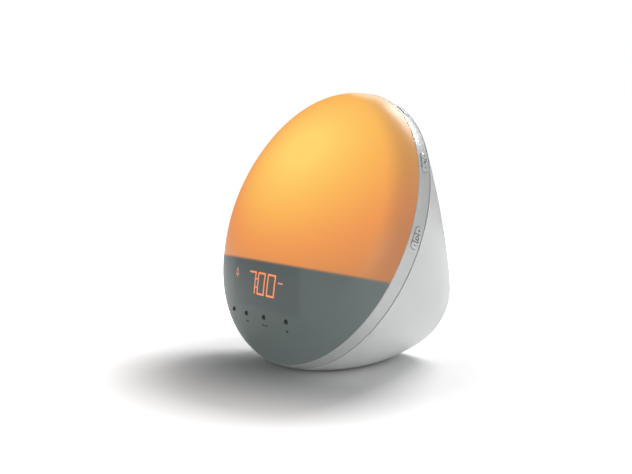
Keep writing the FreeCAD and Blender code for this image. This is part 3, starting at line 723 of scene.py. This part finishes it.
def capsule_cutter(angle, half_length):
    # A capsule that starts inside the ring, points out of it and is turned to its place.
    k = keys()
    start = shape().ring_bore - 2 * MM
    length = 12 * MM
    clear_selection()
    bpy.ops.mesh.primitive_circle_add(
        vertices=64, radius=k.slot_half_width, fill_type="NGON",
        location=(start, 0, -k.slot_depth), rotation=(0, math.pi / 2, 0))
    obj = bpy.context.object
    bpy.ops.object.transform_apply(location=True, rotation=True, scale=True)
    run = half_length - k.slot_half_width
    for vertex in obj.data.vertices:
        if abs(vertex.co.y) > TOUCHING:
            vertex.co.y += math.copysign(run, vertex.co.y)
    bpy.ops.object.mode_set(mode="EDIT")
    bpy.ops.mesh.select_all(action="SELECT")
    bpy.ops.mesh.extrude_region_move(TRANSFORM_OT_translate={"value": (length, 0, 0)})
    bpy.ops.mesh.select_all(action="SELECT")
    bpy.ops.mesh.normals_make_consistent(inside=False)
    bpy.ops.object.mode_set(mode="OBJECT")
    obj.data.transform(Matrix.Rotation(angle, 4, "Z"))
    return obj


def key_slots():
    # Each slot's angle on the ring and half its length.
    k = keys()
    return ((0.0, k.group_half_length), (SOUND_ANGLE, k.group_half_length),
            (ALARM_ANGLE, k.alarm_half_length), (OTHER_ALARM_ANGLE, k.alarm_half_length))


def ring_profile():
    # From the outside over the front, down the bore and back along the tongue.
    s = shape()
    corner_round = 0.45 * MM
    tongue_wall = 1.0 * MM
    tongue = s.ring_bore + tongue_wall
    tip = -s.ring_depth - s.tongue_length
    outline = [(s.ring_radius, -s.ring_depth), (s.ring_radius, 0.0), (s.rebate_radius, 0.0),
               (s.rebate_radius, -s.rebate_depth), (s.ring_bore, -s.rebate_depth),
               (s.ring_bore, tip), (tongue, tip), (tongue, -s.ring_depth)]
    return rounded(outline, corner_round)


class LAMP_OT_ring(bpy.types.Operator):
    """Silver ring between the dome and the housing, with its key slots"""
    bl_idname = "lamp.ring"
    bl_label = "Ring"

    def execute(self, context):
        obj = spun("ring_band", ring_profile(), steps=360, closed=True)
        cut_away(obj, [capsule_cutter(angle, half) for angle, half in key_slots()])
        settle(obj, FRONT)
        smooth(obj, degrees=30)
        dress(obj, BODY, silver_paint("satin_silver_paint", (0.68, 0.695, 0.69)))
        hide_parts("bezel_ring")
        return {"FINISHED"}


class LAMP_OT_housing(bpy.types.Operator):
    """White rear housing and the dark foot under it"""
    bl_idname = "lamp.housing"
    bl_label = "Housing and foot"

    def execute(self, context):
        shell = joined_copy("rear_housing", "housing_shell", degrees=28)
        dress(shell, BODY, white_plastic())
        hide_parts("rear_housing")
        foot = joined_copy("base_foot", "foot_pad", degrees=30)
        dress(foot, BODY, dark_rubber("foot_rubber", (0.035, 0.035, 0.037)))
        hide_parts("base_foot")
        return {"FINISHED"}


RING_KEYS = ("lamp_plus_key", "lamp_key", "lamp_minus_key", "sound_plus_key", "sound_key",
             "sound_minus_key", "alarm_one_key", "alarm_two_key")
FRONT_KEYS = ("front_key_one", "front_key_two", "front_key_three", "front_key_four")


class LAMP_OT_keys(bpy.types.Operator):
    """Keys on the ring and on the face"""
    bl_idname = "lamp.keys"
    bl_label = "Keys"

    def execute(self, context):
        paint = silver_paint("satin_silver_key", (0.70, 0.715, 0.71))
        rubber = dark_rubber("key_rubber", (0.035, 0.045, 0.045))
        for name in RING_KEYS:
            key = joined_copy(name, name + "_cap", degrees=30)
            dress(key, name, paint)
            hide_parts(name)
        for name in FRONT_KEYS:
            key = joined_copy(name, name + "_nub", degrees=30)
            dress(key, name, rubber)
            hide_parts(name)
        return {"FINISHED"}


def flat_shape(outline):
    # A flat piece in the XY plane: a disc whose points are moved onto the outline.
    clear_selection()
    bpy.ops.mesh.primitive_circle_add(vertices=len(outline), radius=MM, fill_type="NGON")
    obj = bpy.context.object
    for vertex, (x, y) in zip(obj.data.vertices, outline):
        vertex.co = (x, y, 0.0)
    return obj


def stroke_outline(start, end, width):
    # A straight stroke with rounded ends.
    round_steps = 6
    a = Vector(start)
    b = Vector(end)
    along = (b - a).normalized()
    aside = Vector((-along.y, along.x)) * width / 2
    points = []
    for centre, side in ((b, 1), (a, -1)):
        for i in range(round_steps + 1):
            angle = math.pi * i / round_steps
            out = aside * math.cos(angle) * side + along * math.sin(angle) * width / 2 * side
            points.append(tuple(centre + out))
    return points


def placed(strokes, x=0.0, y=0.0):
    # Strokes given in millimetres about their own middle, brought to a place.
    return [((x + ax * MM, y + ay * MM), (x + bx * MM, y + by * MM))
            for (ax, ay), (bx, by) in strokes]


def joined(parts, name):
    clear_selection()
    for part in parts:
        part.select_set(True)
    bpy.context.view_layer.objects.active = parts[0]
    if len(parts) > 1:
        bpy.ops.object.join()
    obj = bpy.context.object
    obj.name = name
    return obj


def thickened(obj, thickness, offset):
    activate(obj)
    modifier = obj.modifiers.new("thickness", "SOLIDIFY")
    modifier.thickness = thickness
    modifier.offset = offset
    bpy.ops.object.modifier_apply(modifier=modifier.name)
    bpy.ops.object.mode_set(mode="EDIT")
    bpy.ops.mesh.select_all(action="SELECT")
    bpy.ops.mesh.normals_make_consistent(inside=False)
    bpy.ops.object.mode_set(mode="OBJECT")


def laid_on_dome(obj, lift, thickness):
    # Fine cuts let a flat piece follow the dome, then it gets its own thickness.
    activate(obj)
    bpy.ops.object.transform_apply(location=True, rotation=True, scale=True)
    bpy.ops.object.mode_set(mode="EDIT")
    bpy.ops.mesh.select_all(action="SELECT")
    bpy.ops.mesh.quads_convert_to_tris()
    bpy.ops.mesh.subdivide(number_cuts=2)
    bpy.ops.mesh.normals_make_consistent(inside=False)
    bpy.ops.object.mode_set(mode="OBJECT")
    for vertex in obj.data.vertices:
        vertex.co.z = dome_height(math.hypot(vertex.co.x, vertex.co.y)) + lift
    thickened(obj, thickness, offset=1.0)
    settle(obj, FRONT)
    return obj


def face_strokes(name, strokes, width, slanted=False):
    # Strokes on the dome's outer face, where slanted ones lean as the digits do.
    d = display()
    parts = []
    for start, end in strokes:
        ends = []
        for x, y in (start, end):
            lean = (y - d.centre_y) * math.tan(d.slant) if slanted else 0.0
            ends.append((x + lean, y))
        parts.append(flat_shape(stroke_outline(ends[0], ends[1], width)))
    return laid_on_dome(joined(parts, name), lift=0.02 * MM, thickness=0.04 * MM)


SEGMENTS = {
    "top": ((-1, 1), (1, 1)), "middle": ((-1, 0), (1, 0)), "bottom": ((-1, -1), (1, -1)),
    "high_left": ((-1, 0), (-1, 1)), "high_right": ((1, 0), (1, 1)),
    "low_left": ((-1, -1), (-1, 0)), "low_right": ((1, -1), (1, 0)),
}
SEVEN = ("top", "high_right", "low_right")
ZERO = ("top", "bottom", "high_left", "high_right", "low_left", "low_right")

# Signs as strokes in millimetres about their own middle

FACE_BELL = (((-2.2, -1.3), (2.2, -1.3)), ((-1.5, -1.0), (-1.2, 1.2)), ((1.5, -1.0), (1.2, 1.2)),
             ((-0.9, 1.7), (0.9, 1.7)), ((-0.2, 2.7), (0.2, 2.7)), ((-0.5, -2.6), (0.5, -2.6)))
COLON = (((-0.4, -2.6), (0.4, -2.6)), ((-0.4, 2.6), (0.4, 2.6)))
TWO_DASHES = (((-1.6, 0.0), (-0.4, 0.0)), ((0.5, 0.0), (1.8, 0.0)))
ONE_LINE = (((-1.8, 0.0), (1.8, 0.0)),)
TWO_LINES = (((-2.6, 0.0), (-0.5, 0.0)), ((0.5, 0.0), (2.6, 0.0)))
DOWN_MARK = (((-0.7, 0.5), (0.0, -0.5)), ((0.0, -0.5), (0.7, 0.5)))
UP_MARK = (((-0.7, -0.5), (0.0, 0.5)), ((0.0, 0.5), (0.7, -0.5)))


def digit_strokes():
    # The time 7:00, digit by digit.
    d = display()
    strokes = []
    for step, digit in ((-1, SEVEN), (0, ZERO), (1, ZERO)):
        x = d.centre_x + step * d.digit_pitch
        for segment in digit:
            (ax, ay), (bx, by) = SEGMENTS[segment]
            strokes.append(((x + ax * d.digit_width / 2, d.centre_y + ay * d.digit_height / 2),
                            (x + bx * d.digit_width / 2, d.centre_y + by * d.digit_height / 2)))
    return strokes


class LAMP_OT_display(bpy.types.Operator):
    """Lit digits, dots and small signs that show through the dome"""
    bl_idname = "lamp.display"
    bl_label = "Display"

    def execute(self, context):
        d = display()
        glowing = lit("lit_digits", tuple(d.digit_colour), 1.0)
        faint = lit("faint_signs", (0.60, 0.24, 0.13), 0.9)
        digits = face_strokes("lit_time", digit_strokes(), d.stroke, slanted=True)
        dress(digits, BODY, glowing)
        dots = placed(COLON, d.centre_x - d.digit_pitch / 2, d.centre_y)
        colon = face_strokes("lit_colon", dots, 1.1 * MM, slanted=True)
        dress(colon, BODY, faint)
        bell = face_strokes("lit_bell", placed(FACE_BELL, -23.2 * MM, -45.6 * MM), 0.75 * MM)
        dress(bell, BODY, faint)
        half_day = face_strokes("lit_half_day", placed(TWO_DASHES, 28.4 * MM, -47.6 * MM), 1.0 * MM)
        dress(half_day, BODY, lit("pink_sign", (0.62, 0.27, 0.22), 0.8))
        return {"FINISHED"}


class LAMP_OT_face_marks(bpy.types.Operator):
    """Plain printed marks under the front keys"""
    bl_idname = "lamp.face_marks"
    bl_label = "Face marks"

    def execute(self, context):
        k = keys()
        row = k.front_row - 4.7 * MM
        strokes = []
        for step, mark in ((-0.5, ONE_LINE), (0.5, TWO_LINES), (1.5, DOWN_MARK), (-1.5, UP_MARK)):
            strokes += placed(mark, step * k.front_pitch, row)
        marks = face_strokes("face_marks", strokes, 0.7 * MM)
        dress(marks, BODY, ink("dark_ink", (0.02, 0.025, 0.025)))
        return {"FINISHED"}


def ring_mark(name, body, angle, strokes, width, material):
    # Strokes drawn along the ring (first value) and across it, wrapped onto a key's top.
    k = keys()
    parts = [flat_shape(stroke_outline(a, b, width)) for a, b in placed(strokes)]
    obj = joined(parts, name)
    activate(obj)
    bpy.ops.object.transform_apply(location=True, rotation=True, scale=True)
    for vertex in obj.data.vertices:
        turn = angle + vertex.co.x / k.mark_radius
        vertex.co = (k.mark_radius * math.cos(turn), k.mark_radius * math.sin(turn),
                     vertex.co.y - k.slot_depth)
    thickened(obj, thickness=0.03 * MM, offset=0.0)
    settle(obj, FRONT)
    dress(obj, body, material)


def arc_strokes(x, y, radius, start, end, count):
    # An arc between two angles in degrees, as a chain of straight strokes.
    points = []
    for i in range(count + 1):
        a = math.radians(start + (end - start) * i / count)
        points.append((x + radius * math.cos(a), y + radius * math.sin(a)))
    return list(zip(points, points[1:]))


class LAMP_OT_key_marks(bpy.types.Operator):
    """Plain signs on the ring keys: plus, minus, a lamp, a note and two bells"""
    bl_idname = "lamp.key_marks"
    bl_label = "Key marks"

    def execute(self, context):
        black = ink("key_ink", (0.03, 0.035, 0.035))
        thin = 0.35 * MM
        lamp = arc_strokes(0.0, 0.0, 1.1, 0, 360, 14)
        lamp += [((0.0, -1.1), (-1.9, -1.1)), ((1.5, 0.0), (2.0, 0.0))]
        note = arc_strokes(-0.8, 0.5, 0.6, 0, 360, 10)
        note += [((-0.8, -0.1), (1.8, -0.1)), ((1.8, -0.1), (1.2, -1.2))]
        plus = [((-0.8, 0.0), (0.8, 0.0)), ((0.0, -0.8), (0.0, 0.8))]
        minus = [((0.0, -0.8), (0.0, 0.8))]
        offset = keys().side_place / keys().mark_radius
        for group, angle, sign in (("lamp", 0.0, lamp), ("sound", SOUND_ANGLE, note)):
            ring_mark(group + "_sign", group + "_key", angle, sign, 0.45 * MM, black)
            ring_mark(group + "_plus_sign", group + "_plus_key", angle + offset, plus, thin, black)
            ring_mark(group + "_minus_sign", group + "_minus_key", angle - offset, minus, thin, black)
        bell = arc_strokes(0.0, 0.0, 0.9, -90, 90, 8)
        bell += [((-1.0, -1.2), (-1.0, 1.2)), ((0.0, -0.9), (-1.0, -1.2)), ((0.0, 0.9), (-1.0, 1.2))]
        for name, angle in (("alarm_one", ALARM_ANGLE), ("alarm_two", OTHER_ALARM_ANGLE)):
            ring_mark(name + "_sign", name + "_key", angle, bell, 0.4 * MM, black)
        return {"FINISHED"}


def inner_materials():
    return {
        "frame_plastic": grained("frame_plastic", (0.55, 0.55, 0.53), 0.45, 900.0, 0.03 * MM),
        "reflector_white": grained("reflector_white", (0.85, 0.85, 0.84), 0.25, 500.0, 0.01 * MM),
        "white_board": circuit_board("white_board", (0.80, 0.80, 0.78), (0.70, 0.70, 0.69)),
        "green_board": circuit_board("green_board", (0.02, 0.13, 0.06), (0.04, 0.20, 0.09)),
        "warm_led": lit("warm_light", (1.0, 0.65, 0.25), 1.5),
        "amber_led": lit("amber_light", (1.0, 0.30, 0.05), 1.5),
        "black_plastic": grained("black_plastic", (0.02, 0.02, 0.021), 0.4, 1200.0, 0.02 * MM),
        "lit_segment": lit("segment_light", (1.0, 0.28, 0.06), 1.2),
        "switch_body": grained("switch_plastic", (0.05, 0.05, 0.05), 0.45, 1500.0, 0.02 * MM),
        "flex_film": grained("amber_film", (0.45, 0.20, 0.05), 0.25, 600.0, 0.01 * MM, Coat_Weight=0.5),
        "can_aluminium": steel("can_aluminium"),
        "lead_red": grained("red_insulation", (0.45, 0.02, 0.02), 0.4, 1500.0, 0.01 * MM),
        "lead_black": grained("black_insulation", (0.02, 0.02, 0.02), 0.4, 1500.0, 0.01 * MM),
        "speaker_steel": grained("black_steel", (0.04, 0.04, 0.04), 0.4, 1000.0, 0.02 * MM, Metallic=0.6),
        "magnet_ferrite": grained("ferrite", (0.06, 0.06, 0.065), 0.6, 1800.0, 0.04 * MM),
        "screw_steel": steel("screw_steel"),
        "cone_paper": grained("cone_paper", (0.06, 0.055, 0.05), 0.8, 1600.0, 0.06 * MM),
        "dark_rubber": dark_rubber("gasket_rubber", (0.03, 0.03, 0.03)),
    }


class LAMP_OT_inner_parts(bpy.types.Operator):
    """Finishes of the parts inside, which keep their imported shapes"""
    bl_idname = "lamp.inner_parts"
    bl_label = "Inner parts"

    def execute(self, context):
        materials = inner_materials()
        for part in frame["record"]["subparts"]:
            material = materials.get(part["material_slot"])
            obj = bpy.data.objects.get(part["node"])
            if material is None or obj is None:
                continue
            for slot in obj.material_slots:
                slot.material = material
        return {"FINISHED"}


LAMP_MIDDLE = (0.0, 0.0, 0.08)
DOME_TOP = (0.05, 0.0, 0.17)


def area_light(name, place, aim, size, power):
    data = bpy.data.lights.new(name, "AREA")
    data.shape = "RECTANGLE"
    data.size, data.size_y = size
    data.energy = power
    obj = bpy.data.objects.new(name, data)
    bpy.context.scene.collection.objects.link(obj)
    obj.location = place
    obj.rotation_euler = (Vector(aim) - Vector(place)).to_track_quat("-Z", "Y").to_euler()


def floor_material(s, colour):
    # Pale floor that turns into the white background away from the lamp. This white is painted light, and
    # it also lightens the outer part of the lamp's shadow.
    m = Nodes("pale_floor")
    m.set(Base_Color=colour, Roughness=0.9, Specular_IOR_Level=0.0, Emission_Color=grey(1.0))
    path = m.add("ShaderNodeLightPath")
    mirrored = m.math("MULTIPLY", path.outputs["Is Glossy Ray"], s.mirrored_white)
    seen = m.math("MAXIMUM", path.outputs["Is Camera Ray"], mirrored)
    seen = m.math("MAXIMUM", seen, path.outputs["Is Transmission Ray"])
    length = m.add("ShaderNodeVectorMath", operation="LENGTH")
    m.link(m.place(), length.inputs[0])
    far = soft_step(m, length.outputs["Value"], s.white_middle, s.white_blur)
    m.link(m.math("MULTIPLY", seen, far), m.shader.inputs["Emission Strength"])
    return m.material


def add_floor(s):
    clear_selection()
    bpy.ops.mesh.primitive_plane_add(size=s.floor_size)
    floor = bpy.context.object
    floor.name = "floor"
    floor.data.materials.append(floor_material(s, grey(0.92)))


def add_surroundings(s):
    # White where the camera looks, and dim as a light.
    world = bpy.data.worlds.new("studio")
    bpy.context.scene.world = world
    world.use_nodes = True
    tree = world.node_tree
    background = tree.nodes["Background"]
    path = tree.nodes.new("ShaderNodeLightPath")
    seen = tree.nodes.new("ShaderNodeMath")
    seen.operation = "MAXIMUM"
    tree.links.new(path.outputs["Is Camera Ray"], seen.inputs[0])
    tree.links.new(path.outputs["Is Transmission Ray"], seen.inputs[1])
    level = tree.nodes.new("ShaderNodeMapRange")
    level.inputs["To Min"].default_value = s.ambient
    level.inputs["To Max"].default_value = 1.0
    tree.links.new(seen.outputs[0], level.inputs["Value"])
    tree.links.new(level.outputs["Result"], background.inputs["Strength"])
    background.inputs["Color"].default_value = (1.0, 1.0, 1.0, 1.0)


def add_lights(s):
    area_light("key_light", (-0.26, 0.95, 1.2), LAMP_MIDDLE, (0.75, 0.6), s.key_power)
    area_light("rim_light", (-0.74, 0.78, 0.85), DOME_TOP, (0.5, 0.5), s.rim_power)
    area_light("side_light", (1.6, 0.6, 1.0), LAMP_MIDDLE, (2.0, 1.4), s.side_power)
    area_light("fill_light", (1.25, -0.85, 0.24), LAMP_MIDDLE, (1.2, 0.42), s.fill_power)


def add_camera(s):
    data = bpy.data.cameras.new("camera")
    data.lens = s.camera_lens
    data.sensor_width = 36.0
    data.clip_start = 10 * MM
    camera = bpy.data.objects.new("camera", data)
    bpy.context.scene.collection.objects.link(camera)
    camera.location = s.camera_place
    camera.rotation_euler = (math.pi / 2 - s.camera_rise, 0.0, s.camera_azimuth)
    bpy.context.scene.camera = camera


class LAMP_OT_stage(bpy.types.Operator):
    """Floor, lights, surroundings and camera"""
    bl_idname = "lamp.stage"
    bl_label = "Stage"

    def execute(self, context):
        stage = context.scene.lamp_stage
        context.scene.view_settings.view_transform = "Standard"
        add_floor(stage)
        add_surroundings(stage)
        add_lights(stage)
        add_camera(stage)
        return {"FINISHED"}


class LAMP_PT_panel(bpy.types.Panel):
    """Steps that build the lamp clock"""
    bl_idname = "LAMP_PT_panel"
    bl_label = "Lamp clock"
    bl_space_type = "VIEW_3D"
    bl_region_type = "UI"
    bl_category = "Lamp clock"

    def draw(self, context):
        for name in OPERATORS:
            self.layout.operator(name)
        for group in ("lamp_shape", "lamp_keys", "lamp_display", "lamp_glow", "lamp_stage"):
            settings = getattr(context.scene, group)
            box = self.layout.box()
            for key in settings.__annotations__:
                box.prop(settings, key)


OPERATORS = ("lamp.dome", "lamp.ring", "lamp.housing", "lamp.keys", "lamp.display",
             "lamp.face_marks", "lamp.key_marks", "lamp.inner_parts", "lamp.stage")
GROUPS = (("lamp_shape", ShapeSettings), ("lamp_keys", KeySettings), ("lamp_display", DisplaySettings),
          ("lamp_glow", GlowSettings), ("lamp_stage", StageSettings))
CLASSES = (ShapeSettings, KeySettings, DisplaySettings, GlowSettings, StageSettings,
           LAMP_OT_dome, LAMP_OT_ring, LAMP_OT_housing, LAMP_OT_keys, LAMP_OT_display,
           LAMP_OT_face_marks, LAMP_OT_key_marks, LAMP_OT_inner_parts, LAMP_OT_stage, LAMP_PT_panel)


def register():
    for item in CLASSES:
        bpy.utils.register_class(item)
    for name, group in GROUPS:
        setattr(bpy.types.Scene, name, bpy.props.PointerProperty(type=group))


def unregister():
    for name, _ in GROUPS:
        delattr(bpy.types.Scene, name)
    for item in reversed(CLASSES):
        bpy.utils.unregister_class(item)


def main():
    register()
    bpy.ops.lamp.dome()
    bpy.ops.lamp.ring()
    bpy.ops.lamp.housing()
    bpy.ops.lamp.keys()
    bpy.ops.lamp.display()
    bpy.ops.lamp.face_marks()
    bpy.ops.lamp.key_marks()
    bpy.ops.lamp.inner_parts()
    bpy.ops.lamp.stage()


if __name__ == "__main__":
    main()
